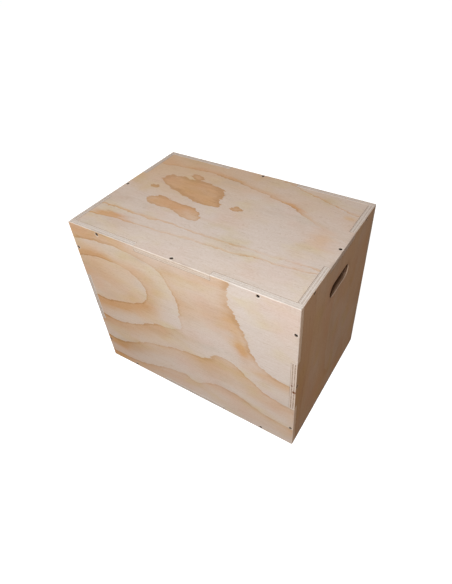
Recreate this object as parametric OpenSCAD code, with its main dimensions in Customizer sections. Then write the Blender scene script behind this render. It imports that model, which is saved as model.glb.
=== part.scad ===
// Plywood jump box that stands at three heights, one for each way up.
// Six panels meet in finger joints, one wide finger and its two neighbours on
// every edge, and a countersunk screw draws each finger down on to the panel
// behind it. Each end panel has a hand slot near the top.
//
// Frame: origin in the middle of the footprint, +X along the length,
// +Y from the front panel to the back, +Z up. Millimetres.

/* [Box] */
// Length of the box, along X
box_w = 762; // [500:1:1000]
// Depth of the box from front to back, along Y
box_d = 508; // [400:1:800]
// Height of the box, along Z
box_h = 610; // [400:1:900]
// Thickness of the plywood
ply_t = 18; // [15:0.5:24]
// Radius sanded on to the outside edges of the box
edge_r = 2; // [0.5:0.25:4]

/* [Finger joints] */
// Share of an edge that its middle finger takes
finger_share = 0.333; // [0.25:0.001:0.45]
// Gap between the sides of two fingers
finger_gap = 0.2; // [0.1:0.05:0.6]

/* [Hand slots] */
// Length of a hand slot, over its round ends
slot_l = 130; // [90:1:160]
// Height of a hand slot
slot_h = 45; // [30:1:60]
// Distance from the top of the box down to the middle of a hand slot
slot_drop = 107; // [75:1:150]
// Radius rounded on to the inner and outer lips of a hand slot
slot_lip_r = 3; // [1:0.5:6]

/* [Screws] */
// Length of a screw
screw_l = 50; // [40:1:60]
// Diameter over the threads
screw_d = 4.2; // [3.5:0.1:5]
// Diameter under the threads
screw_core_d = 3; // [2.2:0.1:3.4]
// Distance from one thread to the next
screw_pitch = 2.6; // [1.5:0.1:3.5]
// Length of the point
screw_tip_l = 5; // [3:0.5:8]
// Length from the head to the first thread, head included
screw_plain_l = 20; // [10:1:25]
// Diameter of the head
head_d = 8.4; // [7:0.1:10]
// Depth of the head, from its face to the shank
head_h = 3.4; // [2.5:0.1:4.5]
// Height of the straight rim round the head
head_rim_h = 0.5; // [0.2:0.1:1]
// Width of one arm of the cross recess in the head
recess_w = 1.1; // [0.8:0.1:1.5]
// Length of the cross recess, from end to end
recess_l = 4.6; // [3:0.1:5.5]
// Depth of the cross recess
recess_h = 2.4; // [1.5:0.1:3]
// Depth that a head sits below the face of its panel
head_sink = 0.8; // [0.3:0.1:1.5]
// Distance from the end of an edge to its outer screw, as a share of that edge
screw_end_share = 0.15; // [0.1:0.01:0.25]

/* [Hidden] */
$fn = 64;
ply_colour = "burlywood";
screw_colour = "dimgray";

// Reach past a surface, so that a cut leaves no skin
past = 1;

// A screw stands in the middle of the thickness of the panel that it enters
screw_edge = ply_t / 2;

// Room round a screw's head and round its threads, on the diameter
head_room = 0.6;
thread_room = 0.3;
head_cut_d = head_d + head_room;
screw_hole_d = screw_d + thread_room;
thread_n = floor((screw_l - screw_plain_l - screw_tip_l) / screw_pitch);

// One row for each face of the box: its name, its half sizes, the faces at its
// two ends and the screws beside each, the faces at its two sides and the screws
// beside each. A pair of screws holds two end fingers, and one a middle finger.
FACES = [
    ["front", [box_w, box_h] / 2, ["left", "right"], 2, ["bottom", "top"], 2],
    ["back", [box_w, box_h] / 2, ["left", "right"], 2, ["bottom", "top"], 2],
    ["left", [box_d, box_h] / 2, ["front", "back"], 1, ["bottom", "top"], 2],
    ["right", [box_d, box_h] / 2, ["front", "back"], 1, ["bottom", "top"], 2],
    ["bottom", [box_w, box_d] / 2, ["left", "right"], 1, ["front", "back"], 1],
    ["top", [box_w, box_d] / 2, ["left", "right"], 1, ["front", "back"], 1]
];

// Places along an edge of the given half length
function spread(half, count) =
    count == 1 ? [0] : [-half, half] * (1 - 2 * screw_end_share);

function set_name(face, beside, count) =
    str(count == 1 ? "screw_" : "screws_", face, "_", beside);

// Screw sets: node name, face that the heads are in, panel that the screws
// enter, and the place of each screw on the face
SCREW_SETS = [
    for (f = FACES, k = [0, 1])
        let (side = 2 * k - 1)
            each [
                [
                    set_name(f[0], f[2][k], f[3]), f[0], f[2][k],
                    [for (v = spread(f[1].y, f[3])) [side * (f[1].x - screw_edge), v]]
                ],
                [
                    set_name(f[0], f[4][k], f[5]), f[0], f[4][k],
                    [for (u = spread(f[1].x, f[5])) [u, side * (f[1].y - screw_edge)]]
                ]
            ]
];

PANELS = [
    "front_panel", "back_panel", "left_panel", "right_panel", "bottom_panel", "top_panel"
];

// Puts its children on a face of the box, with their z = 0 on the face and +z
// out of the box. Opposite faces are mirror images.
module on_face(face) {
    translate([0, 0, box_h / 2])
        if (face == "front")
            rotate([90, 0, 0]) translate([0, 0, box_d / 2]) children();
        else if (face == "back")
            mirror([0, 1, 0]) rotate([90, 0, 0]) translate([0, 0, box_d / 2]) children();
        else if (face == "right")
            rotate([90, 0, 90]) translate([0, 0, box_w / 2]) children();
        else if (face == "left")
            mirror([1, 0, 0]) rotate([90, 0, 90]) translate([0, 0, box_w / 2]) children();
        else if (face == "top")
            translate([0, 0, box_h / 2]) children();
        else
            mirror([0, 0, 1]) translate([0, 0, box_h / 2]) children();
}

// Rectangle with rounded corners
module eased_rect(size, r) {
    square(size - [2 * r, 0], center = true);
    square(size - [0, 2 * r], center = true);
    for (x = [-1, 1], y = [-1, 1])
        translate([x * (size.x / 2 - r), y * (size.y / 2 - r)]) circle(r);
}

// Outside of the whole box, which rounds the panels' outer edges
module box_outside() {
    translate([0, 0, box_h / 2])
        intersection() {
            linear_extrude(box_h, center = true) eased_rect([box_w, box_d], edge_r);
            rotate([90, 0, 0])
                linear_extrude(box_d, center = true) eased_rect([box_w, box_h], edge_r);
            rotate([90, 0, 90])
                linear_extrude(box_w, center = true) eased_rect([box_d, box_h], edge_r);
        }
}

// Outline of a front or back panel: the full size of the box, with the middle of
// each edge cut away for a neighbour's middle finger
module front_outline() {
    difference() {
        square([box_w, box_h], center = true);
        for (s = [-1, 1]) {
            translate([0, s * box_h / 2])
                square([box_w * finger_share + finger_gap, 2 * ply_t], center = true);
            translate([s * box_w / 2, 0])
                square([2 * ply_t, box_h * finger_share + finger_gap], center = true);
        }
    }
}

// Outline of an end panel: it stands between the front and the back, its middle
// fingers come through them, and its top and bottom are cut away in the middle
module end_outline() {
    difference() {
        square([box_d - 2 * ply_t, box_h], center = true);
        for (s = [-1, 1])
            translate([0, s * box_h / 2])
                square([box_d * finger_share + finger_gap, 2 * ply_t], center = true);
    }
    square([box_d, box_h * finger_share - finger_gap], center = true);
}

// Outline of the top or bottom panel: it lies within the four walls, with a
// middle finger through each of them
module top_outline() {
    square([box_w - 2 * ply_t, box_d - 2 * ply_t], center = true);
    square([box_w * finger_share - finger_gap, box_d], center = true);
    square([box_w, box_d * finger_share - finger_gap], center = true);
}

// Half of a hand slot's section: across from its middle, and through the wood
module slot_section() {
    difference() {
        translate([0, -ply_t - past])
            square([slot_h / 2 + slot_lip_r, ply_t + 2 * past]);
        translate([slot_h / 2 + ply_t / 2, -ply_t / 2])
            eased_rect([ply_t, ply_t], slot_lip_r);
    }
}

// Opening of a hand slot, with rounded lips and round ends
module slot_opening() {
    straight = slot_l - slot_h;
    for (s = [-1, 1])
        translate([s * straight / 2, 0, 0]) rotate_extrude() slot_section();
    rotate([90, 0, 90])
        linear_extrude(straight, center = true) {
            slot_section();
            mirror([1, 0]) slot_section();
        }
}

// Bore and countersink for one screw, from the face of the panel inwards
module screw_hole() {
    translate([0, 0, -screw_l - head_sink - past])
        cylinder(h = screw_l + head_sink + 2 * past, d = screw_hole_d);
    translate([0, 0, -head_sink - head_rim_h])
        cylinder(h = head_sink + head_rim_h + past, d = head_cut_d);
    translate([0, 0, -head_sink - head_h])
        cylinder(h = head_h - head_rim_h, d1 = screw_hole_d, d2 = head_cut_d);
}

// Panel with its outer side on a face of the box, drilled for its own screws
// and for those that enter its edges
module panel(face) {
    difference() {
        intersection() {
            on_face(face) translate([0, 0, -ply_t]) linear_extrude(ply_t) children();
            box_outside();
        }
        for (s = SCREW_SETS)
            if (s[1] == face || s[2] == face)
                on_face(s[1])
                    for (p = s[3])
                        translate([p.x, p.y, 0]) screw_hole();
    }
}

// Outline of half a screw, turned about its axis: head, plain shank, threads, point
module screw_section() {
    thread_top = -screw_l + screw_tip_l + thread_n * screw_pitch;
    polygon(concat(
        [[0, 0], [head_d / 2, 0], [head_d / 2, -head_rim_h], [screw_d / 2, -head_h]],
        [[screw_d / 2, thread_top]],
        [
            for (i = [0:thread_n - 1])
                each [
                    [screw_core_d / 2, thread_top - (i + 0.25) * screw_pitch],
                    [screw_core_d / 2, thread_top - (i + 0.7) * screw_pitch],
                    [screw_d / 2, thread_top - (i + 1) * screw_pitch]
                ]
        ],
        [[0, -screw_l]]
    ));
}

// Countersunk wood screw with a cross recess, its head in the plane z = 0
module screw() {
    difference() {
        rotate_extrude($fn = 32) screw_section();
        for (a = [0, 90])
            rotate([0, 0, a])
                translate([-recess_w / 2, -recess_l / 2, -recess_h])
                    cube([recess_w, recess_l, recess_h + past]);
    }
}

module front_panel() {
    color(ply_colour) panel("front") front_outline();
}

module back_panel() {
    color(ply_colour) panel("back") front_outline();
}

module left_panel() {
    color(ply_colour) end_panel("left");
}

module right_panel() {
    color(ply_colour) end_panel("right");
}

module bottom_panel() {
    color(ply_colour) panel("bottom") top_outline();
}

module top_panel() {
    color(ply_colour) panel("top") top_outline();
}

// End panel with its hand slot
module end_panel(face) {
    difference() {
        panel(face) end_outline();
        on_face(face) translate([0, box_h / 2 - slot_drop, 0]) slot_opening();
    }
}

// The screws of one row of SCREW_SETS
module screw_set(s) {
    color(screw_colour)
        on_face(s[1])
            for (p = s[3])
                translate([p.x, p.y, -head_sink]) screw();
}

front_panel();
back_panel();
left_panel();
right_panel();
bottom_panel();
top_panel();
for (s = SCREW_SETS)
    screw_set(s);
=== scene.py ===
import math

import bmesh
import bpy
from mathutils import Matrix, Quaternion, Vector, noise


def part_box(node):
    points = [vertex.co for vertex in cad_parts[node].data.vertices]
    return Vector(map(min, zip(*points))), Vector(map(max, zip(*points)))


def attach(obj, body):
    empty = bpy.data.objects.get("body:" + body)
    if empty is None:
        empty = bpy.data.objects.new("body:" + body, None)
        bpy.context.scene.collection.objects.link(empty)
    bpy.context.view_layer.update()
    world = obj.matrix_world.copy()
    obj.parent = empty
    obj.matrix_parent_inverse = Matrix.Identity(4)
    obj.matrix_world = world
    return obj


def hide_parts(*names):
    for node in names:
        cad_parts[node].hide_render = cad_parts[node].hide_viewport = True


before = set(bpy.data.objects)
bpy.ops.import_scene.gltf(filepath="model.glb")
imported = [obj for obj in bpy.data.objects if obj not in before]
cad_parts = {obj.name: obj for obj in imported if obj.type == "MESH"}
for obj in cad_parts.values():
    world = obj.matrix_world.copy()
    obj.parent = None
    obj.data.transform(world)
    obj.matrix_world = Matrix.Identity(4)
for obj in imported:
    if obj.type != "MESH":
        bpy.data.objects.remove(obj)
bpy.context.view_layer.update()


# ---------------------------------------------------------------- camera
# A hand-held view from above the corner between the front and the right end,
# with the camera a little tilted.
CAMERA_AT = Vector((0.667, -0.927, 1.344))
CAMERA_AIM = Vector((0.056, 0.007, 0.305))
CAMERA_TILT = math.radians(-2.94)
SENSOR_MM = 36.0
LENS_MM = 27.8
LENS_SHIFT = (-0.0303, 0.0012)

camera_data = bpy.data.cameras.new("camera")
camera_data.sensor_width = SENSOR_MM
camera_data.lens = LENS_MM
camera_data.shift_x, camera_data.shift_y = LENS_SHIFT
camera = bpy.data.objects.new("camera", camera_data)
camera.location = CAMERA_AT
camera.rotation_mode = "QUATERNION"
looking = (CAMERA_AIM - CAMERA_AT).to_track_quat("-Z", "Y")
camera.rotation_quaternion = looking @ Quaternion((0, 0, 1), CAMERA_TILT)
bpy.context.scene.collection.objects.link(camera)
bpy.context.scene.camera = camera


# ---------------------------------------------------------------- studio
# A wide sheet of white paper, bright enough to merge with the white behind it. It throws
# no light back on to the box, so that the shaded end stays in shade.
FLOOR_REACH = 30.0
FLOOR_DROP = 0.0005
PAPER_WHITE = (0.80, 0.80, 0.80, 1.0)
PAPER_GLOW = (0.832, 0.891, 0.930, 1.0)
ROOM_TINT = (1.0, 0.65, 0.42, 1)
ROOM_STRENGTH = 0.21

floor_mesh = bpy.data.meshes.new("floor")
floor_corners = [
    (x * FLOOR_REACH, y * FLOOR_REACH, -FLOOR_DROP)
    for x, y in ((-1, -1), (1, -1), (1, 1), (-1, 1))
]
floor_mesh.from_pydata(floor_corners, [], [(0, 1, 2, 3)])
floor = bpy.data.objects.new("floor", floor_mesh)
bpy.context.scene.collection.objects.link(floor)
floor.visible_diffuse = False
floor.visible_glossy = False

paper = bpy.data.materials.new("white_paper")
paper.use_nodes = True
paper_shader = paper.node_tree.nodes["Principled BSDF"]
paper_shader.inputs["Base Color"].default_value = PAPER_WHITE
paper_shader.inputs["Roughness"].default_value = 0.9
paper_shader.inputs["Emission Color"].default_value = PAPER_GLOW
paper_shader.inputs["Emission Strength"].default_value = 1.0
floor_mesh.materials.append(paper)

world = bpy.data.worlds.new("studio")
world.use_nodes = True
bpy.context.scene.world = world
world_nodes = world.node_tree.nodes
world_links = world.node_tree.links
room_light = world_nodes["Background"]
room_light.inputs["Color"].default_value = ROOM_TINT
room_light.inputs["Strength"].default_value = ROOM_STRENGTH
backdrop = world_nodes.new("ShaderNodeBackground")
backdrop.inputs["Color"].default_value = (1, 1, 1, 1)
backdrop.inputs["Strength"].default_value = 1.0
seen = world_nodes.new("ShaderNodeLightPath")
choose = world_nodes.new("ShaderNodeMixShader")
world_links.new(seen.outputs["Is Camera Ray"], choose.inputs["Fac"])
world_links.new(room_light.outputs["Background"], choose.inputs[1])
world_links.new(backdrop.outputs["Background"], choose.inputs[2])
world_links.new(choose.outputs["Shader"], world_nodes["World Output"].inputs["Surface"])


def soft_box(name, at, aim, size, power, colour):
    """A square studio light at a point, turned towards another."""
    data = bpy.data.lights.new(name, "AREA")
    data.size = size
    data.energy = power
    data.color = colour
    light = bpy.data.objects.new(name, data)
    light.location = at
    light.rotation_euler = (Vector(aim) - Vector(at)).to_track_quat("-Z", "Y").to_euler()
    bpy.context.scene.collection.objects.link(light)


soft_box(
    "key_light",
    at=(0.56, -1.80, 1.96),
    aim=(0.0, -0.1, 0.4),
    size=0.5,
    power=56.0,
    colour=(0.92, 0.975, 1.04),
)
soft_box(
    "back_light",
    at=(-2.2, 2.2, 0.9),
    aim=(0.0, 0.0, 0.3),
    size=1.4,
    power=32.0,
    colour=(1.0, 0.93, 0.86),
)

# Colours go straight to the screen, with no film curve over them.
bpy.context.scene.view_settings.view_transform = "Standard"


# ---------------------------------------------------------------- panels
# Six boards of five-ply pine, sawn with one wide finger per third of an edge,
# glued and screwed together. The outside edges are sanded round after assembly.
MM = 0.001
LOW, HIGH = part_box("front_panel")[0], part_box("back_panel")[1]
BOX_W, BOX_D, BOX_H = HIGH - LOW
PLY_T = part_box("front_panel")[1].y - LOW.y
PLY_COUNT = 5
VENEER_T = PLY_T / PLY_COUNT
EDGE_R = 2.0 * MM
CORNER_R = 2.6 * MM
SAWN_CHAMFER = 0.6 * MM
EDGE_STEP = 7.0 * MM
ROUND_STEPS = 4
CROSS_PLY_DIP = 0.12 * MM
HALF_STEP_BETWEEN_PLIES = 0.05 * MM
SHARP_BOARD_ANGLE = math.radians(50)
MIDDLE = Vector((0, 0, BOX_H / 2))
HALF = Vector((BOX_W, BOX_D, BOX_H)) / 2

X, Y, Z = Vector((1, 0, 0)), Vector((0, 1, 0)), Vector((0, 0, 1))

# For each side of the box: the two directions along its board, and the one that
# leads through the board from its outer face.
SIDES = {
    "front": (X, Z, Y),
    "back": (X, Z, -Y),
    "left": (Y, Z, X),
    "right": (Y, Z, -X),
    "bottom": (X, Y, Z),
    "top": (X, Y, -Z),
}


def half_along(direction):
    """Half the size of the box along one of its axes."""
    return sum(abs(d) * h for d, h in zip(direction, HALF))


def board_point(side, u, v, depth):
    """A point of a board: u and v from the middle of its face, and a depth into it."""
    along, across, inward = SIDES[side]
    face = MIDDLE - inward * half_along(inward)
    return face + along * u + across * v + inward * depth


def finger_reach(node, side_axis, along_axis):
    """Half the length of the finger that a panel sends out through a neighbour."""
    points = [v.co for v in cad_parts[node].data.vertices]
    outside = min(p[side_axis] for p in points)
    on_outside = [p[along_axis] for p in points if p[side_axis] < outside + 0.01 * MM]
    return (max(on_outside) - min(on_outside)) / 2


TOP_FINGER_X = finger_reach("top_panel", 1, 0)
TOP_FINGER_Y = finger_reach("top_panel", 0, 1)
END_FINGER_Z = finger_reach("right_panel", 1, 2)
FINGER_GAP = 0.2 * MM


def front_outline():
    """A full-size board with the middle of each edge cut away."""
    w, h = BOX_W / 2, BOX_H / 2
    a, b = TOP_FINGER_X + FINGER_GAP, END_FINGER_Z + FINGER_GAP
    quarter = [(w, -h), (w, -b), (w - PLY_T, -b), (w - PLY_T, b), (w, b), (w, h)]
    top = [(a, h), (a, h - PLY_T), (-a, h - PLY_T), (-a, h)]
    left = [(-u, -v) for u, v in quarter]
    bottom = [(-u, -v) for u, v in top]
    return quarter + top + left + bottom


def end_outline():
    """A board between the front and the back, with a finger through each of them."""
    d, h = BOX_D / 2, BOX_H / 2
    inner = d - PLY_T
    a, b = TOP_FINGER_Y + FINGER_GAP, END_FINGER_Z
    right = [(inner, -h), (inner, -b), (d, -b), (d, b), (inner, b), (inner, h)]
    top = [(a, h), (a, h - PLY_T), (-a, h - PLY_T), (-a, h)]
    return right + top + [(-u, -v) for u, v in right + top]


def top_outline():
    """A board within the four walls, with a finger through each of them."""
    w, d = BOX_W / 2, BOX_D / 2
    in_w, in_d = w - PLY_T, d - PLY_T
    a, b = TOP_FINGER_X, TOP_FINGER_Y
    right = [(in_w, -in_d), (in_w, -b), (w, -b), (w, b), (in_w, b), (in_w, in_d)]
    top = [(a, in_d), (a, d), (-a, d), (-a, in_d)]
    return right + top + [(-u, -v) for u, v in right + top]


def outline_points(corners, half_u, half_v):
    """The outline in short steps.

    Each point has its place and, for each edge it is on, the direction inward and
    whether that is an outside edge of the box.
    """

    def edge_facts(start, end):
        direction = (end - start).normalized()
        inward = Vector((-direction.y, direction.x))
        on_u = abs(start.x - end.x) < MM and abs(abs(start.x) - half_u) < 0.1 * MM
        on_v = abs(start.y - end.y) < MM and abs(abs(start.y) - half_v) < 0.1 * MM
        return inward, on_u or on_v

    corners = [Vector(c) for c in corners]
    points = []
    for i, corner in enumerate(corners):
        before, after = corners[i - 1], corners[(i + 1) % len(corners)]
        arriving, leaving = edge_facts(before, corner), edge_facts(corner, after)
        rounded = arriving[1] and leaving[1]
        if rounded:
            centre = corner + (arriving[0] + leaving[0]) * CORNER_R
            for k in range(ROUND_STEPS + 1):
                turn = Matrix.Rotation(math.pi / 2 * k / ROUND_STEPS, 2)
                outward = turn @ -arriving[0]
                points.append((centre + outward * CORNER_R, [(-outward, True)]))
        else:
            points.append((corner, [arriving, leaving]))
        count = max(1, round((after - corner).length / EDGE_STEP)) if leaving[1] else 1
        for k in range(1, count):
            points.append((corner.lerp(after, k / count), [leaving]))
    return points


# The wear of the outside edges: noise waves per metre, and how high a wave must be
# to count as a knock.
SANDING_WAVES = 22.0
ROUGH_WAVES = 95.0
KNOCK_WAVES = 48.0
KNOCK_LEVEL = 0.45
WEAR_SHARE = 0.7


def wear_at(place):
    """How far the sanding and knocks have eaten into an outside edge there."""
    slow = noise.noise(place * SANDING_WAVES)
    quick = noise.noise(place * ROUGH_WAVES + Vector((7, 3, 1)))
    knock = max(0.0, noise.noise(place * KNOCK_WAVES + Vector((2, 9, 4))) - KNOCK_LEVEL)
    return (0.25 + 0.35 * slow + 0.2 * quick + 3.0 * knock) * MM * WEAR_SHARE


def edge_rings():
    """Steps through the board from its outer face to its inner one.

    Each has its depth, how far an outside edge is set back, how far a sawn edge is,
    and its share of the wear.
    """
    rings = []
    for k in range(ROUND_STEPS + 1):
        a = math.pi / 2 * k / ROUND_STEPS
        depth = EDGE_R * (1 - math.cos(a))
        chamfer = max(0.0, SAWN_CHAMFER - depth)
        rings.append((depth, EDGE_R * (1 - math.sin(a)), chamfer, 1 - 0.2 * k))
    step = HALF_STEP_BETWEEN_PLIES
    for k in range(1, PLY_COUNT):
        before, after = (CROSS_PLY_DIP, 0.0) if k % 2 == 0 else (0.0, CROSS_PLY_DIP)
        rings.append((k * VENEER_T - step, before, before, 0.0))
        rings.append((k * VENEER_T + step, after, after, 0.0))
    rings.append((PLY_T - SAWN_CHAMFER, 0.0, 0.0, 0.0))
    rings.append((PLY_T, SAWN_CHAMFER, SAWN_CHAMFER, 0.15))
    return rings


def board_mesh(side, corners):
    """The solid board, before it is drilled."""
    along, across, _ = SIDES[side]
    points = outline_points(corners, half_along(along), half_along(across))
    bm = bmesh.new()
    loops = []
    for depth, outside_back, sawn_back, wear in edge_rings():
        loop = []
        for place, edges in points:
            at = place.copy()
            for inward, outside in edges:
                back = outside_back if outside else sawn_back
                if outside and wear:
                    back += wear * max(0.0, wear_at(board_point(side, place.x, place.y, 0)))
                at += inward * back
            loop.append(bm.verts.new(board_point(side, at.x, at.y, depth)))
        loops.append(loop)
    for first, second in zip(loops, loops[1:]):
        for i in range(len(points)):
            bm.faces.new((first[i - 1], first[i], second[i], second[i - 1]))
    bm.faces.new(loops[0])
    bm.faces.new(loops[-1])
    bmesh.ops.recalc_face_normals(bm, faces=bm.faces)
    return bm


# The screws: where each stands comes from its CAD node.
SCREW_NODES = [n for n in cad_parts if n.startswith("screw")]
HEAD_R = 4.2 * MM
HEAD_CUT_R = 4.5 * MM
HEAD_RIM = 0.5 * MM
HEAD_H = 3.4 * MM
HEAD_SUNK = 0.8 * MM
TORN_RIM = 1.3 * MM
SHANK_HOLE_R = 2.25 * MM
SCREW_L = 50.0 * MM
HOLE_SIDES = 32


def screw_places(node):
    """The middle of each screw's head in a CAD node, and the way the screws point."""
    inward = SIDES[node.split("_")[1]][2]
    low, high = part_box(node)
    start = Vector(
        [lo if d > 0 else hi if d < 0 else 0.0 for lo, hi, d in zip(low, high, inward)]
    )
    across = [i for i in range(3) if abs(inward[i]) < 0.5]
    centre = (low + high) / 2
    for i in across:
        start[i] = centre[i]
    spread = [i for i in across if high[i] - low[i] > 3 * HEAD_R]
    if not spread:
        return [start], inward
    i = spread[0]
    pair = []
    for value in (low[i] + HEAD_R, high[i] - HEAD_R):
        place = start.copy()
        place[i] = value
        pair.append(place)
    return pair, inward


def turned(bm, profile, at, pointing, sides, ragged=0.0, seed=0):
    """Adds a turned solid whose profile is radii and distances along pointing.

    The first and the last point are on the axis. The rim may be ragged.
    """
    turn = pointing.to_track_quat("Z", "Y").to_matrix()
    rows = []
    for radius, distance in profile[1:-1]:
        row = []
        for k in range(sides):
            a = 2 * math.pi * k / sides
            r = radius
            if ragged and distance < HEAD_RIM:
                grain = noise.noise(Vector((math.cos(a) * 2.2, math.sin(a) * 1.2, seed * 3.7)))
                r += ragged * max(0.0, grain + 0.15)
            spot = Vector((r * math.cos(a), r * math.sin(a), distance))
            row.append(bm.verts.new(at + turn @ spot))
        rows.append(row)
    first = bm.verts.new(at + pointing * profile[0][1])
    last = bm.verts.new(at + pointing * profile[-1][1])
    for k in range(sides):
        bm.faces.new((first, rows[0][k], rows[0][k - 1]))
        bm.faces.new((last, rows[-1][k - 1], rows[-1][k]))
        for upper, lower in zip(rows, rows[1:]):
            bm.faces.new((upper[k - 1], upper[k], lower[k], lower[k - 1]))


def screw_hole(bm, head, pointing, seed):
    """A countersunk hole, its mouth a little torn by the driver."""
    surface = -HEAD_SUNK
    profile = [
        (0, surface - 2 * MM),
        (HEAD_CUT_R + 0.5 * MM, surface - 2 * MM),
        (HEAD_CUT_R + 0.5 * MM, surface),
        (HEAD_CUT_R, surface + 0.45 * MM),
        (HEAD_CUT_R, HEAD_RIM),
        (SHANK_HOLE_R, HEAD_H),
        (SHANK_HOLE_R, SCREW_L + MM),
        (0, SCREW_L + MM),
    ]
    turned(bm, profile, head, pointing, HOLE_SIDES, ragged=TORN_RIM, seed=seed)


VOID_HALF_THICK = 1.5 * MM
VOID_HALF_DEEP = 2.6 * MM
VOID_ROUGHNESS = 0.35


def void_in_ply(bm, at, along, across, through, length, seed):
    """A gap in an inner ply that the saw has opened."""
    size = Vector((length / 2, VOID_HALF_THICK, VOID_HALF_DEEP))
    blob = bmesh.ops.create_icosphere(bm, subdivisions=3, radius=1.0)
    for v in blob["verts"]:
        rough = 1 + VOID_ROUGHNESS * noise.noise(v.co * 1.8 + Vector((seed, 0, 0)))
        local = Vector([c * s * rough for c, s in zip(v.co, size)])
        v.co = at + along * local.x + through * local.y + across * local.z


SLOT_W, SLOT_H, SLOT_LIP = 130 * MM, 45 * MM, 3 * MM
SLOT_DROP = 107 * MM
SLOT_MIDDLE = Vector((0, BOX_H / 2 - SLOT_DROP))
LIP_STEPS = 6
SLOT_END_STEPS = 24


def hand_slot(bm, side):
    """The round-ended hole of a hand slot, flared at both lips by a rounding bit."""

    def flare(depth):
        edge = min(depth, PLY_T - depth)
        if edge >= SLOT_LIP:
            return 0.0
        rise = SLOT_LIP - max(edge, 0.0)
        return SLOT_LIP - math.sqrt(max(0.0, SLOT_LIP**2 - rise**2))

    quarter = [math.pi / 2 * k / LIP_STEPS for k in range(LIP_STEPS + 1)]
    lip_steps = [SLOT_LIP * (1 - math.cos(a)) for a in quarter]
    depths = [-MM] + lip_steps + [PLY_T - d for d in reversed(lip_steps)] + [PLY_T + MM]
    straight = (SLOT_W - SLOT_H) / 2
    loops = []
    for depth in depths:
        radius = SLOT_H / 2 + flare(depth)
        loop = []
        for end in (1, -1):
            for k in range(SLOT_END_STEPS + 1):
                a = math.pi * k / SLOT_END_STEPS - math.pi / 2
                u = end * (straight + radius * math.cos(a))
                v = end * radius * math.sin(a)
                spot = board_point(side, SLOT_MIDDLE.x + u, SLOT_MIDDLE.y + v, depth)
                loop.append(bm.verts.new(spot))
        loops.append(loop)
    for first, second in zip(loops, loops[1:]):
        for i in range(len(first)):
            bm.faces.new((first[i - 1], first[i], second[i], second[i - 1]))
    bm.faces.new(loops[0])
    bm.faces.new(loops[-1])


def object_from(bm, name):
    """A scene object that holds a finished bmesh."""
    mesh = bpy.data.meshes.new(name)
    bm.to_mesh(mesh)
    bm.free()
    thing = bpy.data.objects.new(name, mesh)
    bpy.context.scene.collection.objects.link(thing)
    return thing


def cut_away(board, cutters):
    """Takes the cutters out of the board and throws them away."""
    cut = board.modifiers.new("drilling", "BOOLEAN")
    cut.operation = "DIFFERENCE"
    cut.solver = "EXACT"
    cut.object = cutters
    seen_by = bpy.context.evaluated_depsgraph_get()
    drilled = bpy.data.meshes.new_from_object(board.evaluated_get(seen_by))
    board.modifiers.clear()
    blank = board.data
    board.data = drilled
    drilled.name = board.name
    bpy.data.meshes.remove(blank)
    bpy.data.objects.remove(cutters)


# The shaders of the boards are mostly sums, so they are written as sums: a Flow is
# a number, a place or a colour on its way through a shader.
def feed(socket, value):
    """Sets a socket, or links it when the value is a Flow."""
    if isinstance(value, Flow):
        value.tree.links.new(value.socket, socket)
    else:
        socket.default_value = value


def placed(tree, kind, inputs, output=0, **settings):
    """Adds a node, fills in its sockets and gives back one of its outputs."""
    node = tree.nodes.new("ShaderNode" + kind)
    for setting, value in settings.items():
        setattr(node, setting, value)
    for label, value in inputs.items():
        feed(node.inputs[label], value)
    return Flow(tree, node.outputs[output])


class Flow:
    """A number, a place or a colour on its way through a shader."""

    def __init__(self, tree, socket):
        self.tree = tree
        self.socket = socket

    def math(self, operation, *others):
        inputs = dict(enumerate((self, *others)))
        return placed(self.tree, "Math", inputs, operation=operation)

    def vector_math(self, operation, other, output=0):
        inputs = {0: self, 1: other}
        return placed(self.tree, "VectorMath", inputs, output, operation=operation)

    def __add__(self, other):
        return self.math("ADD", other)

    def __sub__(self, other):
        return self.math("SUBTRACT", other)

    def __mul__(self, other):
        return self.math("MULTIPLY", other)

    def __truediv__(self, other):
        return self.math("DIVIDE", other)

    def size(self):
        return self.math("ABSOLUTE")

    def rising(self, low, high):
        """0 below one value and 1 above another, with a soft step between them."""
        inputs = {"Value": self, "From Min": low, "From Max": high}
        return placed(self.tree, "MapRange", inputs, interpolation_type="SMOOTHSTEP")

    def opposite(self):
        """1 where this is 0, and 0 where it is 1."""
        return self * -1.0 + 1.0

    def falling(self, low, high):
        return self.rising(low, high).opposite()

    def blend(self, other, share, kind="MIX"):
        """This colour with a share of another, mixed in or multiplied on."""
        inputs = {0: share, 6: self, 7: other}
        return placed(self.tree, "Mix", inputs, 2, data_type="RGBA", blend_type=kind)

    def grain(self, stretch, detail=2.0, output=0):
        """Noise at this place, 0 to 1, with so many waves per metre along each axis."""
        spread = self.vector_math("MULTIPLY", stretch)
        inputs = {"Vector": spread, "Scale": 1.0, "Detail": detail, "Roughness": 0.55}
        return placed(self.tree, "TexNoise", inputs, output)

    def parts(self):
        """The three numbers of a place."""
        node = self.tree.nodes.new("ShaderNodeSeparateXYZ")
        feed(node.inputs[0], self)
        return [Flow(self.tree, socket) for socket in node.outputs]


def as_place(x, y, z):
    """Three numbers as one place."""
    return placed(x.tree, "CombineXYZ", {0: x, 1: y, 2: z})


def shader_group(name, inputs, outputs):
    """A new node group: gives its inputs by name, and a function that fills its outputs."""
    tree = bpy.data.node_groups.new(name, "ShaderNodeTree")
    for label, kind in inputs.items():
        tree.interface.new_socket(label, in_out="INPUT", socket_type="NodeSocket" + kind)
    for label, kind in outputs.items():
        tree.interface.new_socket(label, in_out="OUTPUT", socket_type="NodeSocket" + kind)
    source = tree.nodes.new("NodeGroupInput")
    result = tree.nodes.new("NodeGroupOutput")
    given = {label: Flow(tree, source.outputs[label]) for label in inputs}

    def give(**values):
        for label, value in values.items():
            feed(result.inputs[label], value)
        return tree

    return given, give


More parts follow.
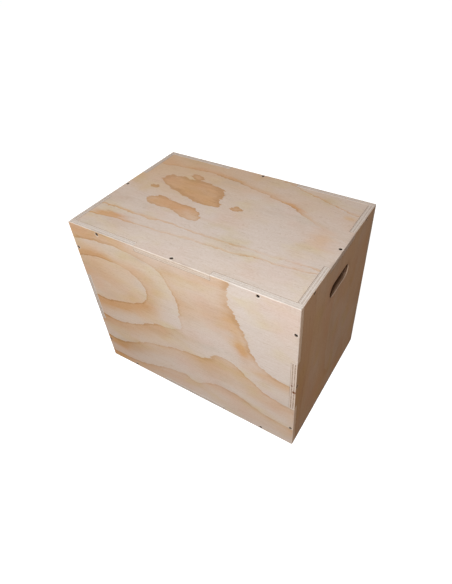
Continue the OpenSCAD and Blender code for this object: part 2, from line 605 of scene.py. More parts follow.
def use_group(tree, group, inputs):
    """Places a node group in a shader and gives back its outputs by name."""
    node = tree.nodes.new("ShaderNodeGroup")
    node.node_tree = group
    for label, value in inputs.items():
        feed(node.inputs[label], value)
    return {socket.name: Flow(tree, socket) for socket in node.outputs}


# How grain wanders, from long bends to fine ones: waves per metre, and reach in metres.
SWAYS = (
    ((7, 17, 7), (0.032, 0.022, 0)),
    ((34, 95, 7), (0.018, 0.011, 0)),
    ((110, 300, 7), (0.006, 0.0025, 0)),
)


def make_wandering_grain():
    """Bends places a little, so that nothing drawn on them runs straight."""
    given, give = shader_group(
        "wandering_grain", {"Place": "Vector", "Waver": "Float"}, {"Place": "Vector"}
    )
    place, waver = given["Place"], given["Waver"]
    bends = []
    for waves, reach in SWAYS:
        bend = place.grain(waves, output=1).vector_math("SUBTRACT", (0.5, 0.5, 0.5))
        bends.append(bend.vector_math("MULTIPLY", reach))
    long_bend, short_bend, fine_bend = bends
    sway = long_bend.vector_math("ADD", short_bend).vector_math("ADD", fine_bend)
    sway = sway.vector_math("MULTIPLY", as_place(waver, waver, waver))
    return give(Place=place.vector_math("ADD", sway))


def make_growth_hill():
    """A round or long hill in the field of growth rings that a veneer is peeled through."""
    given, give = shader_group(
        "growth_hill",
        {
            "Place": "Vector", "Middle": "Vector", "Size": "Vector",
            "Turn": "Float", "Height": "Float",
        },
        {"Rise": "Float"},
    )
    away = given["Place"].vector_math("SUBTRACT", given["Middle"])
    turned_to = placed(
        away.tree,
        "VectorRotate",
        {"Vector": away, "Angle": given["Turn"] * -1.0},
        rotation_type="Z_AXIS",
    )
    steps = turned_to.vector_math("DIVIDE", given["Size"]).vector_math("MULTIPLY", (1, 1, 0))
    far = steps.vector_math("DOT_PRODUCT", steps, output=1)
    return give(Rise=(far * -1.0).math("EXPONENT") * given["Height"])


def make_growth_step():
    """A line along the board at which the rings rise by a height, within a width."""
    given, give = shader_group(
        "growth_step",
        {
            "Place": "Vector", "Start": "Float", "Lean": "Float", "Bow": "Float",
            "Width": "Float", "Height": "Float",
        },
        {"Rise": "Float"},
    )
    u, v, _ = given["Place"].parts()
    line = u * given["Lean"] + u * u * given["Bow"] + given["Start"]
    return give(Rise=(v - line).falling(0.0, given["Width"]) * given["Height"])


PALE_PINE = (0.74, 0.655, 0.585, 1)
TAN_PINE = (0.74, 0.56, 0.385, 1)
SUMMER_PINE = (0.69, 0.435, 0.235, 1)
DARK_LINE = (0.52, 0.30, 0.14, 1)
SAWN_PINE = (0.79, 0.74, 0.68, 1)
ROSY_TINT = (1.0, 0.94, 0.92, 1)
STRAW_TINT = (0.98, 0.97, 0.82, 1)
SMOKY_TINT = (0.90, 0.90, 0.87, 1)
FIBRE_TINT = (0.86, 0.82, 0.76, 1)
DUCT_TINT = (0.66, 0.52, 0.38, 1)
FLECK_TINT = (0.93, 0.91, 0.88, 1)


def make_rotary_cut_face():
    """The face of a peeled pine veneer: each whole number of Rings starts a new year.

    A year starts pale, turns to orange summer wood and stops at a dark line.
    """
    given, give = shader_group(
        "rotary_cut_face",
        {"Place": "Vector", "Rings": "Float", "Strength": "Float", "Tan": "Float"},
        {"Color": "Color", "Roughness": "Float", "Height": "Float"},
    )
    place = given["Place"]
    ragged = (place.grain((24, 150, 5), 3.0) - 0.5) * 0.07
    year = (given["Rings"] + ragged).math("FRACT")
    patchy = place.grain((4, 11, 5), 3.0).rising(0.34, 0.66) * 0.9 + 0.6
    strength = given["Strength"] * patchy
    summer = (year.rising(0.15, 1.0) * strength).math("MINIMUM", 1.0)
    line = (year.rising(0.9, 0.99) * strength).math("MINIMUM", 1.0)
    tan = (given["Tan"] + (place.grain((4, 8, 5), 3.0) - 0.5) * 1.2).rising(0.0, 1.0)
    colour = placed(place.tree, "RGB", {})
    colour.socket.default_value = PALE_PINE
    colour = colour.blend(TAN_PINE, tan)
    colour = colour.blend(SUMMER_PINE, summer)
    colour = colour.blend(DARK_LINE, line * 0.7)

    rosy = place.vector_math("ADD", (3.1, 0, 0)).grain((6, 9, 5)).rising(0.45, 0.72)
    smoky = place.vector_math("ADD", (0, 5.3, 0)).grain((5, 12, 5), 3.0).rising(0.5, 0.8)
    straw = place.vector_math("ADD", (7.7, 2.0, 0)).grain((7, 11, 5)).rising(0.48, 0.75)
    colour = colour.blend(ROSY_TINT, rosy, "MULTIPLY")
    colour = colour.blend(STRAW_TINT, straw, "MULTIPLY")
    colour = colour.blend(SMOKY_TINT, smoky, "MULTIPLY")

    fibre = place.grain((12, 620, 5), 3.0)
    colour = colour.blend(FIBRE_TINT, fibre.rising(0.42, 0.8), "MULTIPLY")
    duct = place.grain((42, 1500, 5), 1.0).rising(0.70, 0.78)
    colour = colour.blend(DUCT_TINT, duct * 0.7, "MULTIPLY")
    flecks = place.grain((160, 240, 5)).rising(0.4, 0.75)
    colour = colour.blend(FLECK_TINT, flecks, "MULTIPLY")

    rough = fibre * 0.16 - summer * 0.14 + 0.62
    height = fibre * 0.05 - duct * 0.12 - line * 0.05 + summer * 0.03
    return give(Color=colour, Roughness=rough, Height=height)


LONG_GRAIN_TINT = (0.84, 0.79, 0.72, 1)
END_GRAIN_TINT = (0.52, 0.42, 0.34, 1)
PORE_TINT = (0.45, 0.36, 0.28, 1)
GLUE_BROWN = (0.20, 0.12, 0.07, 1)


def make_ply_edge():
    """The sawn edge of the board: five plies, crossed in turn, with glue between them."""
    given, give = shader_group(
        "ply_edge",
        {
            "Place": "Vector", "Along": "Float", "Depth": "Float", "Cross": "Float",
            "Darkness": "Float", "Tone": "Color",
        },
        {"Color": "Color", "Roughness": "Float", "Height": "Float"},
    )
    depth, along, cross = given["Depth"], given["Along"], given["Cross"]
    wobble = (given["Place"].grain((60, 60, 60)) - 0.5) * (0.5 * MM)
    plies = (depth + wobble) / VENEER_T
    inner = plies.math("FLOOR").math("MODULO", 2.0).size()
    end_grain = inner * cross + inner.opposite() * cross.opposite()

    streaks = as_place(along, depth, cross).grain((28, 1400, 5), 3.0)
    pores = given["Place"].grain((900, 900, 900), 2.0)
    years = as_place(along, depth, cross).grain((260, 60, 5), 2.0)
    colour = given["Tone"]
    long_grain = colour.blend(LONG_GRAIN_TINT, streaks.rising(0.35, 0.75), "MULTIPLY")
    dark = given["Darkness"]
    sawn_ends = colour.blend(END_GRAIN_TINT, years.rising(0.1, 0.7) * dark, "MULTIPLY")
    sawn_ends = sawn_ends.blend(PORE_TINT, pores.rising(0.5, 0.8) * dark, "MULTIPLY")
    colour = long_grain.blend(sawn_ends, end_grain)

    nearest = (plies.math("FRACT") - 0.5).size() * -1.0 + 0.5
    within = depth.rising(1.5 * MM, 2.2 * MM) * depth.falling(PLY_T - 2.2 * MM, PLY_T - 1.5 * MM)
    broken = given["Place"].grain((120, 120, 120)).rising(0.3, 0.6) * 0.6 + 0.4
    glue = nearest.falling(0.02, 0.08) * within * broken
    colour = colour.blend(GLUE_BROWN, glue * (dark * 0.5 + 0.35))

    rough = end_grain * 0.12 + 0.66
    height = streaks * 0.05 - pores * end_grain * 0.16 - glue * 0.1 - end_grain * 0.06
    return give(Color=colour, Roughness=rough, Height=height)


def make_edge_wear_and_painted_light():
    """Where the outside edges of the box are sanded and rubbed pale, which also paints a highlight
    along them, and how far inside those edges a place is.
    """
    given, give = shader_group(
        "edge_wear_and_painted_light",
        {"Place": "Vector", "Half": "Vector"},
        {"Rubbed": "Float", "Soiled": "Float", "Inside": "Float"},
    )
    place = given["Place"]
    folded = place.vector_math("ABSOLUTE", (0, 0, 0))
    x, y, z = given["Half"].vector_math("SUBTRACT", folded).parts()
    second = x.math("MINIMUM", y).math("MAXIMUM", x.math("MAXIMUM", y).math("MINIMUM", z))
    ragged = second + (place.grain((70, 70, 70), 4.0) - 0.5) * (6 * MM)
    # The pale rub is partly sanded wood and partly a painted highlight along the arrises.
    rubbed = ragged.falling(-0.6 * MM, 2.2 * MM)
    soiled = ragged.falling(1.0 * MM, 9.0 * MM) * place.grain((11, 11, 11), 3.0).rising(0.45, 0.7)
    return give(Rubbed=rubbed, Soiled=soiled, Inside=second.rising(4 * MM, 7 * MM))


def make_screw_bruise():
    """The fibres crushed and greyed round a screw head, and torn up pale in places."""
    given, give = shader_group(
        "screw_bruise",
        {"Place": "Vector", "Head": "Vector"},
        {"Crushed": "Float", "Torn": "Float"},
    )
    far = given["Place"].vector_math("DISTANCE", given["Head"], output=1)
    far = far + (given["Place"].grain((260, 260, 260)) - 0.5) * (4 * MM)
    ring = far.rising(HEAD_R, HEAD_R + 1.5 * MM) * far.falling(HEAD_R + 2.5 * MM, HEAD_R + 5 * MM)
    torn = ring * given["Place"].grain((150, 150, 150)).rising(0.5, 0.6)
    return give(Crushed=far.falling(HEAD_R, HEAD_R + 3.2 * MM), Torn=torn)


def make_hand_soil_and_slot_shade():
    """The skin oil and dirt that hands leave round a slot, and a mask of the slot itself where
    painted shade goes.
    """
    given, give = shader_group(
        "hand_soil_and_slot_shade",
        {"Place": "Vector", "Middle": "Vector", "Half": "Vector"},
        {"Mask": "Float", "Within": "Float"},
    )
    away = given["Place"].vector_math("SUBTRACT", given["Middle"])
    away = away.vector_math("ABSOLUTE", (0, 0, 0))
    beyond = away.vector_math("SUBTRACT", given["Half"]).vector_math("MAXIMUM", (0, 0, 0))
    far = beyond.vector_math("LENGTH", (0, 0, 0), output=1)
    uneven = given["Place"].grain((45, 45, 45), 3.0) * (26 * MM)
    return give(Mask=(far + uneven).falling(4 * MM, 34 * MM), Within=far.falling(2 * MM, 5 * MM))


WANDERING_GRAIN = make_wandering_grain()
GROWTH_HILL = make_growth_hill()
GROWTH_STEP = make_growth_step()
ROTARY_CUT_FACE = make_rotary_cut_face()
PLY_EDGE = make_ply_edge()
EDGE_WEAR_AND_PAINTED_LIGHT = make_edge_wear_and_painted_light()
SCREW_BRUISE = make_screw_bruise()
HAND_SOIL_AND_SLOT_SHADE = make_hand_soil_and_slot_shade()


def add_hills(tree, place, hills, start):
    """Adds hills to a field: u, v, size along, size across, turn in degrees, height."""
    total = start
    for u, v, along, across, turn, height in hills:
        hill = {
            "Place": place,
            "Middle": (u, v, 0),
            "Size": (along, across, 1),
            "Turn": math.radians(turn),
            "Height": height,
        }
        total = use_group(tree, GROWTH_HILL, hill)["Rise"] + total
    return total


def screw_heads_on(side):
    """The screw heads that show on a face, in the quarter where u and v are positive."""
    middles = []
    for screws in SCREW_NODES:
        if screws.split("_")[1] == side:
            for head in screw_places(screws)[0]:
                folded = Vector([abs(c) for c in head - MIDDLE])
                if all((folded - other).length > MM for other in middles):
                    middles.append(folded)
    return middles


# The pale rub on the edges is partly sanded wood and partly a painted highlight.
RUBBED_PALE_AND_HIGHLIGHT = (0.82, 0.77, 0.71, 1)
SOIL_TINT = (0.62, 0.56, 0.50, 1)
# Painted shade in the chamfered groove where two boards meet.
JOINT_SHADE_TINT = (0.34, 0.26, 0.20, 1)
CRUSHED_TINT = (0.60, 0.53, 0.46, 1)
TORN_PALE = (0.86, 0.80, 0.72, 1)
# Painted shade in the gaps that the saw opened.
VOID_SHADE_TINT = (0.42, 0.24, 0.15, 1)
HAND_TINT = (0.74, 0.67, 0.60, 1)
# Painted shade on the inner walls of the hand slots.
SLOT_SHADE_TINT = (0.40, 0.27, 0.19, 1)


def pine_ply(side, veneer, voids):
    """The material of one board. The veneer says how its rings run and where they are strong."""
    material = bpy.data.materials.new(f"pine_ply_{side}")
    material.use_nodes = True
    tree = material.node_tree
    shader = tree.nodes["Principled BSDF"]

    along, across, inward = SIDES[side]
    here = placed(tree, "TexCoord", {}, "Object")
    facing = placed(tree, "TexCoord", {}, "Normal")
    box_place = here.vector_math("SUBTRACT", tuple(MIDDLE))
    u = box_place.vector_math("DOT_PRODUCT", tuple(along), output=1)
    v = box_place.vector_math("DOT_PRODUCT", tuple(across), output=1)
    depth = box_place.vector_math("DOT_PRODUCT", tuple(inward), output=1) + half_along(inward)
    if veneer.get("upright"):
        u, v = v, u
        along, across = across, along
    deep_shift = depth * 4.0 + veneer["seed"]
    place = use_group(
        tree, WANDERING_GRAIN, {"Place": as_place(u, v, deep_shift), "Waver": veneer["waver"]}
    )["Place"]
    _, bent_v, _ = place.parts()

    rings = bent_v.math("SMOOTH_MIN", veneer["flat_above"], 0.06) * veneer["rise"] + veneer["level"]
    rings = add_hills(tree, place, veneer["hills"], rings)
    if "deepest" in veneer:
        rings = placed(
            tree, "Math", {0: rings, 1: veneer["deepest"], 2: 0.08}, operation="SMOOTH_MAX"
        )
    for start, lean, bow, width, height in veneer.get("steps", ()):
        step = {
            "Place": place, "Start": start, "Lean": lean, "Bow": bow,
            "Width": width, "Height": height,
        }
        rings = use_group(tree, GROWTH_STEP, step)["Rise"] + rings
    strength = add_hills(tree, place, veneer["strong"], veneer["strength"])
    tan = add_hills(tree, place, veneer["tanned"], veneer["tan"])
    face = use_group(
        tree,
        ROTARY_CUT_FACE,
        {"Place": place, "Rings": rings, "Strength": strength, "Tan": tan},
    )

    through = facing.vector_math("DOT_PRODUCT", tuple(inward), output=1).size()
    end_on = facing.vector_math("DOT_PRODUCT", tuple(along), output=1).size()
    side_on = facing.vector_math("DOT_PRODUCT", tuple(across), output=1).size()
    cross = (side_on - end_on).math("GREATER_THAN", 0.0)
    edge_run = u * cross + v * cross.opposite()
    end_dark, side_dark = veneer["edge_darkness"]
    end_tone = placed(tree, "RGB", {})
    end_tone.socket.default_value = veneer.get("end_tone", SAWN_PINE)
    side_tone = veneer.get("side_tone", SAWN_PINE)
    edge = use_group(
        tree,
        PLY_EDGE,
        {
            "Place": here, "Along": edge_run, "Depth": depth, "Cross": cross,
            "Darkness": cross * (side_dark - end_dark) + end_dark,
            "Tone": end_tone.blend(side_tone, cross),
        },
    )
    is_face = through.rising(0.5, 0.8)
    is_edge = is_face.opposite()

    colour = edge["Color"].blend(face["Color"], is_face)
    wear = use_group(tree, EDGE_WEAR_AND_PAINTED_LIGHT, {"Place": box_place, "Half": tuple(HALF)})
    # Pale rub on the outside edges: sanded wood, and a painted highlight on the arrises.
    colour = colour.blend(RUBBED_PALE_AND_HIGHLIGHT, wear["Rubbed"] * 0.5)
    colour = colour.blend(SOIL_TINT, wear["Soiled"] * 0.55, "MULTIPLY")
    # Painted shade: the sawn chamfer where two boards meet is darkened like a shadowed groove.
    joint_shade = through.falling(0.75, 0.97) * depth.falling(0.4 * MM, MM) * wear["Inside"]
    colour = colour.blend(JOINT_SHADE_TINT, joint_shade * 0.85, "MULTIPLY")
    height = face["Height"] * is_face + edge["Height"] * is_edge
    roughness = face["Roughness"] * is_face + edge["Roughness"] * is_edge
    folded = box_place.vector_math("ABSOLUTE", (0, 0, 0))
    for head in screw_heads_on(side):
        bruise = use_group(tree, SCREW_BRUISE, {"Place": folded, "Head": tuple(head)})
        colour = colour.blend(CRUSHED_TINT, bruise["Crushed"], "MULTIPLY")
        colour = colour.blend(TORN_PALE, bruise["Torn"] * 0.75)
        height = height - bruise["Crushed"] * 0.18 + bruise["Torn"] * 0.12
    # Painted shade: the wood in and round each saw gap is darkened as if in shadow.
    for place_u, place_v, place_depth, length in voids:
        hollow = board_point(side, place_u, place_v, place_depth) - MIDDLE
        far = box_place.vector_math("DISTANCE", tuple(hollow), output=1)
        far = far + (here.grain((300, 300, 300)) - 0.5) * (3 * MM)
        void_shade = far.falling(0.3 * length, 0.7 * length)
        colour = colour.blend(VOID_SHADE_TINT, void_shade, "MULTIPLY")
    if side in ("left", "right"):
        slot_reach = Vector((PLY_T, SLOT_W / 2, SLOT_H / 2))
        soil = {
            "Place": box_place,
            "Middle": tuple(Z * SLOT_MIDDLE.y - inward * half_along(inward)),
            "Half": tuple(slot_reach),
        }
        hands = use_group(tree, HAND_SOIL_AND_SLOT_SHADE, soil)
        soiled = hands["Mask"]
        colour = colour.blend(HAND_TINT, soiled * 0.6, "MULTIPLY")
        # Painted shade: the slot's inner walls are darkened to look in shade.
        in_slot_shade = depth.rising(0.8 * MM, 2.5 * MM) * is_edge * hands["Within"]
        colour = colour.blend(SLOT_SHADE_TINT, in_slot_shade, "MULTIPLY")
        roughness = roughness - soiled * 0.08

    feed(shader.inputs["Base Color"], colour)
    feed(shader.inputs["Roughness"], roughness)
    bump = {"Height": height, "Distance": MM, "Strength": 1.0}
    feed(shader.inputs["Normal"], placed(tree, "Bump", bump))
    shader.inputs["Specular IOR Level"].default_value = 0.35
    return material


def finished_board(side, corners, veneer, voids=(), slot=False):
    """A drilled board, which takes the place of its CAD panel."""
    node = f"{side}_panel"
    board = object_from(board_mesh(side, corners), f"{side}_board")
    bm = bmesh.new()
    for seed, screws in enumerate(SCREW_NODES):
        _, through, into = screws.split("_")
        if side in (through, into):
            heads, pointing = screw_places(screws)
            for k, head in enumerate(heads):
                screw_hole(bm, head, pointing, seed + 0.5 * k)
    for seed, (u, v, depth, length) in enumerate(voids):
        along, across, inward = SIDES[side]
        on_end = abs(abs(u) - half_along(along)) < MM
        run, into = (across, along) if on_end else (along, across)
        void_in_ply(bm, board_point(side, u, v, depth), run, into, inward, length, seed)
    if slot:
        hand_slot(bm, side)
    bmesh.ops.recalc_face_normals(bm, faces=bm.faces)
    cut_away(board, object_from(bm, f"{side}_cutters"))
    for face in board.data.polygons:
        face.use_smooth = True
    board.data.set_sharp_from_angle(angle=SHARP_BOARD_ANGLE)
    board.data.materials.append(pine_ply(side, veneer, voids))
    even = board.modifiers.new("even_shading", "WEIGHTED_NORMAL")
    even.keep_sharp = True
    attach(board, "root")
    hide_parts(node)


# How each veneer grew, in metres from the middle of its face. Its rings follow a level
# that rises with v up to flat_above, with hills on it, held above deepest if that is
# given, and with steps: start, lean, bow, width and height of a year's line that runs
# the whole length. The hills in tanned and strong change how tan the wood is and how
# strongly its years show. End and side edges each have a darkness and a tone.
FRONT_VENEER = {
    "seed": 1.0, "waver": 1.0, "level": 1.36, "rise": 7.0, "flat_above": 0.02,
    "hills": [
        (-0.29, 0.12, 0.24, 0.112, 9, 2.7),
        (-0.29, 0.12, 0.13, 0.06, 9, -0.6),
        (-0.28, -0.05, 0.20, 0.07, 0, 0.7),
        (-0.33, -0.19, 0.17, 0.13, 0, 0.95),
        (-0.04, 0.04, 0.07, 0.05, 0, 0.45),
        (0.02, 0.20, 0.06, 0.06, 0, -0.35),
        (0.36, 0.15, 0.235, 0.28, 0, 0.9),
        (0.30, 0.33, 0.14, 0.08, 0, 0.25),
        (0.12, 0.07, 0.11, 0.09, 0, -0.6),
        (0.18, -0.05, 0.09, 0.05, -25, -0.45),
        (0.15, -0.19, 0.09, 0.05, 0, -0.3),
        (0.02, -0.21, 0.03, 0.03, 0, 0.15),
    ],
    "tan": 0.22, "tanned": [
        (-0.38, 0.05, 0.3, 0.3, 0, 0.4),
        (-0.36, 0.19, 0.07, 0.04, 0, 0.7),
        (-0.15, 0.05, 0.06, 0.04, 0, 0.6),
        (0.36, 0.12, 0.12, 0.2, 0, -0.7),
    ],
    "edge_darkness": (0.05, 0.35), "end_tone": (0.98, 0.86, 0.72, 1), "strength": 0.5,
    "strong": [
        (-0.38, 0.0, 0.12, 0.28, 0, 0.95),
        (-0.31, 0.205, 0.07, 0.025, 8, 0.8),
        (-0.27, 0.015, 0.09, 0.03, -10, 0.7),
        (-0.14, 0.06, 0.05, 0.05, 0, 0.7),
        (0.17, 0.20, 0.035, 0.08, 0, 0.2),
        (0.21, 0.06, 0.02, 0.05, 10, 0.5),
        (0.02, 0.05, 0.10, 0.09, 0, -0.2),
        (-0.19, 0.15, 0.09, 0.06, -30, -0.4),
    ],
}
TOP_VENEER = {
    "seed": 2.0, "waver": 1.5, "level": 0.44, "rise": -0.4, "flat_above": 0.3,
    "deepest": 0.262,
    "hills": [
        (-0.33, 0.20, 0.12, 0.05, 0, 0.3),
        (-0.235, 0.085, 0.045, 0.030, -12, -0.22),
        (-0.14, 0.088, 0.075, 0.030, 0, -0.22),
        (-0.13, 0.050, 0.085, 0.034, -14, -0.22),
        (-0.070, 0.030, 0.045, 0.016, -12, -0.15),
        (-0.210, -0.036, 0.044, 0.024, -6, -0.34),
        (-0.145, -0.042, 0.050, 0.016, -16, -0.28),
        (-0.085, -0.050, 0.046, 0.024, -20, -0.34),
        (-0.186, 0.143, 0.028, 0.012, 0, -0.16),
        (-0.287, 0.030, 0.024, 0.012, 0, -0.16),
        (0.034, 0.034, 0.028, 0.014, 0, -0.15),
        (0.40, 0.05, 0.10, 0.10, 0, 0.2),
        (0.335, -0.03, 0.045, 0.06, 0, -0.14),
        (-0.30, -0.162, 0.07, 0.014, 3, 0.6),
    ],
    "steps": [
        (0.163, -0.19, -0.6, 0.030, 0.66),
        (-0.124, 0.02, 0.0, 0.016, 0.95),
        (-0.162, 0.075, 0.02, 0.016, 0.95),
        (0.268, -0.40, 0.3, 0.016, 1.0),
    ],
    "tan": 0.0, "tanned": [
        (-0.38, 0.2, 0.5, 0.25, 0, 0.9),
        (0.31, 0.01, 0.035, 0.07, 0, 0.5),
        (0.34, 0.145, 0.018, 0.012, 0, 0.8),
    ],
    "edge_darkness": (0.4, 0.4), "side_tone": (0.76, 0.65, 0.54, 1), "strength": 0.5,
    "strong": [
        (-0.33, -0.165, 0.09, 0.03, 0, 0.9),
        (-0.25, 0.095, 0.03, 0.025, 0, 0.9),
        (-0.14, 0.03, 0.17, 0.09, 0, 1.2),
        (0.25, -0.12, 0.13, 0.016, 0, -0.3),
        (0.05, -0.145, 0.25, 0.04, 0, -0.12),
        (0.34, 0.04, 0.09, 0.06, 0, -0.4),
        (0.25, 0.18, 0.09, 0.03, -12, 0.55),
        (-0.36, 0.17, 0.12, 0.05, 0, 0.6),
        (-0.08, 0.18, 0.05, 0.02, 0, 0.8),
        (0.14, 0.123, 0.05, 0.015, 0, 0.6),
    ],
}
RIGHT_VENEER = {
    "seed": 3.0, "waver": 1.3, "level": 0.5, "rise": 3.2, "flat_above": 0.4, "upright": True,
    "hills": [(0.05, 0.02, 0.30, 0.09, 4, 0.9), (-0.22, -0.12, 0.2, 0.08, 0, 0.5)],
    "tan": 0.58, "tanned": [(0.12, -0.20, 0.25, 0.06, 0, 0.5), (-0.1, 0.05, 0.15, 0.08, 0, -0.25)],
    "edge_darkness": (0.6, 1.0), "side_tone": (0.79, 0.69, 0.60, 1),
    "strength": 0.16, "strong": [],
}
LEFT_VENEER = {
    "seed": 4.0, "waver": 1.3, "level": 0.2, "rise": -3.6, "flat_above": 0.4, "upright": True,
    "hills": [(-0.10, -0.03, 0.32, 0.08, -5, 1.3), (0.25, 0.14, 0.16, 0.07, 0, 0.6)],
    "tan": 0.35, "tanned": [], "edge_darkness": (0.8, 0.9),
    "strength": 0.55, "strong": [],
}
BACK_VENEER = {
    "seed": 5.0, "waver": 1.2, "level": 0.7, "rise": 4.2, "flat_above": 0.4,
    "hills": [
        (0.08, 0.03, 0.34, 0.10, -4, 1.7),
        (-0.30, -0.16, 0.16, 0.08, 10, 0.8),
        (0.28, 0.22, 0.2, 0.07, 0, -0.6),
    ],
    "tan": 0.35, "tanned": [], "edge_darkness": (0.9, 0.5),
    "strength": 0.6,
    "strong": [(0.3, 0.0, 0.2, 0.2, 0, 0.4)],
}
BOTTOM_VENEER = {
    "seed": 6.0, "waver": 1.1, "level": 0.3, "rise": 3.4, "flat_above": 0.4,
    "hills": [(-0.12, -0.04, 0.3, 0.08, 3, 1.2), (0.25, 0.12, 0.14, 0.06, 0, 0.7)],
    "tan": 0.35, "tanned": [], "edge_darkness": (0.8, 0.9),
    "strength": 0.55, "strong": [],
}

END_U = BOX_D / 2
# Where the saw opened two gaps: u, v, depth into the board and length of each.
RIGHT_VOIDS = [(-END_U, -0.023, 5.2 * MM, 11 * MM), (-END_U, 0.004, 12.6 * MM, 6 * MM)]

finished_board("front", front_outline(), FRONT_VENEER)
finished_board("back", front_outline(), BACK_VENEER)
finished_board("left", end_outline(), LEFT_VENEER, slot=True)
finished_board("right", end_outline(), RIGHT_VENEER, voids=RIGHT_VOIDS, slot=True)
finished_board("top", top_outline(), TOP_VENEER)
finished_board("bottom", top_outline(), BOTTOM_VENEER)


# ---------------------------------------------------------------- screws
# Black countersunk wood screws, 4.2 by 50 mm with a cross recess. They are driven
# through the fingers of each board into the edges of the boards behind, and their
# heads sit a little under the face.
CORE_R = 1.45 * MM
CREST_R = 2.1 * MM
NECK_R = 1.9 * MM
NECK_L = 15.0 * MM
THREAD_PITCH = 2.4 * MM
RIDGE_HALF = 0.28
TIP_L = 5.0 * MM
THREAD_STEP = 0.4 * MM
SCREW_SIDES = 16
HEAD_FLAT = 0.35 * MM
RECESS_DEPTH = 2.1 * MM
GOLDEN_TURN = 2.4
SHARP_SCREW_ANGLE = math.radians(35)


def thread_radius(distance, turn):
    """The outside of the threaded stretch at a distance from the head and a turn round it."""
    phase = (distance / THREAD_PITCH - turn) % 1.0
    ridge = max(0.0, 1.0 - abs(phase - 0.5) / RIDGE_HALF)
    runout = min(1.0, (distance - NECK_L) / THREAD_PITCH)
    taper = min(1.0, (SCREW_L - distance) / TIP_L)
    return (CORE_R + (CREST_R - CORE_R) * ridge * runout) * taper


def screw_blank():
    """The turned and threaded screw, head up at the origin and pointing down -Z."""
    bm = bmesh.new()
    rows = []
    head = [
        (HEAD_R - 0.15 * MM, 0.0),
        (HEAD_R, 0.12 * MM),
        (HEAD_R, HEAD_FLAT),
        (2.9 * MM, 1.7 * MM),
        (CREST_R, 3.1 * MM),
        (NECK_R, 4.0 * MM),
        (NECK_R, NECK_L),
    ]
    for radius, distance in head:
        rows.append([(radius, distance)] * SCREW_SIDES)
    steps = int((SCREW_L - NECK_L) / THREAD_STEP)
    for i in range(1, steps):
        distance = NECK_L + i * THREAD_STEP
        turns = [k / SCREW_SIDES for k in range(SCREW_SIDES)]
        rows.append([(thread_radius(distance, turn), distance) for turn in turns])
    loops = []
    for row in rows:
        loop = []
        for k, (radius, distance) in enumerate(row):
            a = 2 * math.pi * k / SCREW_SIDES
            loop.append(bm.verts.new((radius * math.cos(a), radius * math.sin(a), -distance)))
        loops.append(loop)
    for upper, lower in zip(loops, loops[1:]):
        for k in range(SCREW_SIDES):
            bm.faces.new((upper[k - 1], upper[k], lower[k], lower[k - 1]))
    bm.faces.new(reversed(loops[0]))
    tip = bm.verts.new((0, 0, -SCREW_L))
    for k in range(SCREW_SIDES):
        bm.faces.new((loops[-1][k - 1], loops[-1][k], tip))
    bmesh.ops.recalc_face_normals(bm, faces=bm.faces)
    return bm


def recess_arm(bm, turn):
    """One bar of the cross that the driver fits: it narrows on all sides as it goes down."""
    sizes = [
        (2.5 * MM, 0.60 * MM, MM),
        (2.25 * MM, 0.52 * MM, 0.0),
        (0.75 * MM, 0.30 * MM, -RECESS_DEPTH),
    ]
    corners = ((-1, -1), (1, -1), (1, 1), (-1, 1))
    loops = []
    for half_long, half_wide, z in sizes:
        loop = []
        for x, y in corners:
            at = Matrix.Rotation(turn, 3, "Z") @ Vector((x * half_long, y * half_wide, z))
            loop.append(bm.verts.new(at))
        loops.append(loop)
    for upper, lower in zip(loops, loops[1:]):
        for k in range(4):
            bm.faces.new((upper[k - 1], upper[k], lower[k], lower[k - 1]))
    bm.faces.new(loops[0])
    bm.faces.new(loops[-1])


def screw_pattern():
    """One finished screw, whose mesh every other screw copies."""
    screw = object_from(screw_blank(), "screw_pattern")
    for turn in (0.0, math.pi / 2):
        arm = bmesh.new()
        recess_arm(arm, turn)
        bmesh.ops.recalc_face_normals(arm, faces=arm.faces)
        cut_away(screw, object_from(arm, "recess_cutter"))
    pattern = screw.data
    bpy.data.objects.remove(screw)
    return pattern


BLACKING = (0.035, 0.033, 0.034, 1)
BROWN_BLACK = (0.075, 0.062, 0.055, 1)
RUBBED_STEEL = (0.42, 0.38, 0.34, 1)
WOOD_DUST = (0.50, 0.42, 0.33, 1)


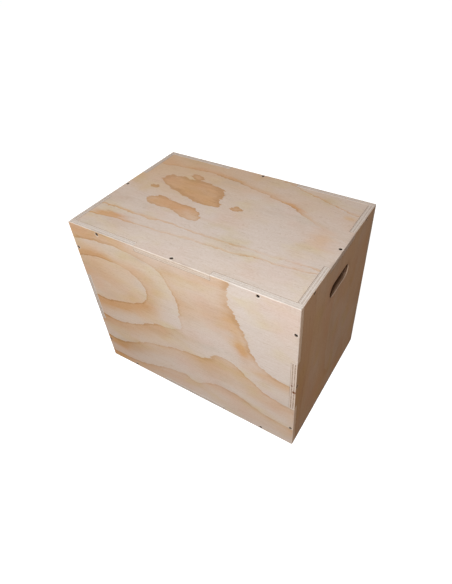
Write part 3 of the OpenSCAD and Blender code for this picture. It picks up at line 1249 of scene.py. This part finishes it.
def black_screw_steel():
    """Phosphate-blackened steel, rubbed bright by the driver and dusty in the hollows."""
    material = bpy.data.materials.new("black_screw_steel")
    material.use_nodes = True
    tree = material.node_tree
    shader = tree.nodes["Principled BSDF"]
    here = placed(tree, "TexCoord", {}, "Object")
    facing = placed(tree, "TexCoord", {}, "Normal")
    mottle = here.grain((900, 900, 900), 3.0)
    scratches = here.grain((2600, 500, 1200), 2.0).rising(0.56, 0.68)
    dust = here.grain((420, 420, 420), 3.0).rising(0.52, 0.72)
    upward = facing.parts()[2].rising(0.2, 0.9)

    colour = placed(tree, "RGB", {})
    colour.socket.default_value = BLACKING
    colour = colour.blend(BROWN_BLACK, mottle.rising(0.4, 0.7))
    colour = colour.blend(RUBBED_STEEL, scratches * 0.6)
    colour = colour.blend(WOOD_DUST, dust * (upward * 0.35 + 0.3))
    feed(shader.inputs["Base Color"], colour)
    feed(shader.inputs["Metallic"], dust * -0.7 + 0.85)
    feed(shader.inputs["Roughness"], mottle * 0.25 + 0.30 + dust * 0.3)
    height = mottle * 0.03 - scratches * 0.03 + dust * 0.05
    bump = {"Height": height, "Distance": MM, "Strength": 1.0}
    feed(shader.inputs["Normal"], placed(tree, "Bump", bump))
    return material


SCREW_PATTERN = screw_pattern()
SCREW_STEEL = black_screw_steel()
for index, node in enumerate(SCREW_NODES):
    heads, pointing = screw_places(node)
    bm = bmesh.new()
    for k, head in enumerate(heads):
        one = bmesh.new()
        one.from_mesh(SCREW_PATTERN)
        stand = (-pointing).to_track_quat("Z", "Y").to_matrix().to_4x4()
        spin = Matrix.Rotation(GOLDEN_TURN * (2 * index + k), 4, "Z")
        one.transform(Matrix.Translation(head) @ stand @ spin)
        passed_on = bpy.data.meshes.new("one_screw")
        one.to_mesh(passed_on)
        one.free()
        bm.from_mesh(passed_on)
        bpy.data.meshes.remove(passed_on)
    screws = object_from(bm, f"black_{node}")
    for face in screws.data.polygons:
        face.use_smooth = True
    screws.data.set_sharp_from_angle(angle=SHARP_SCREW_ANGLE)
    screws.data.materials.append(SCREW_STEEL)
    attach(screws, "root")
    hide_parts(node)
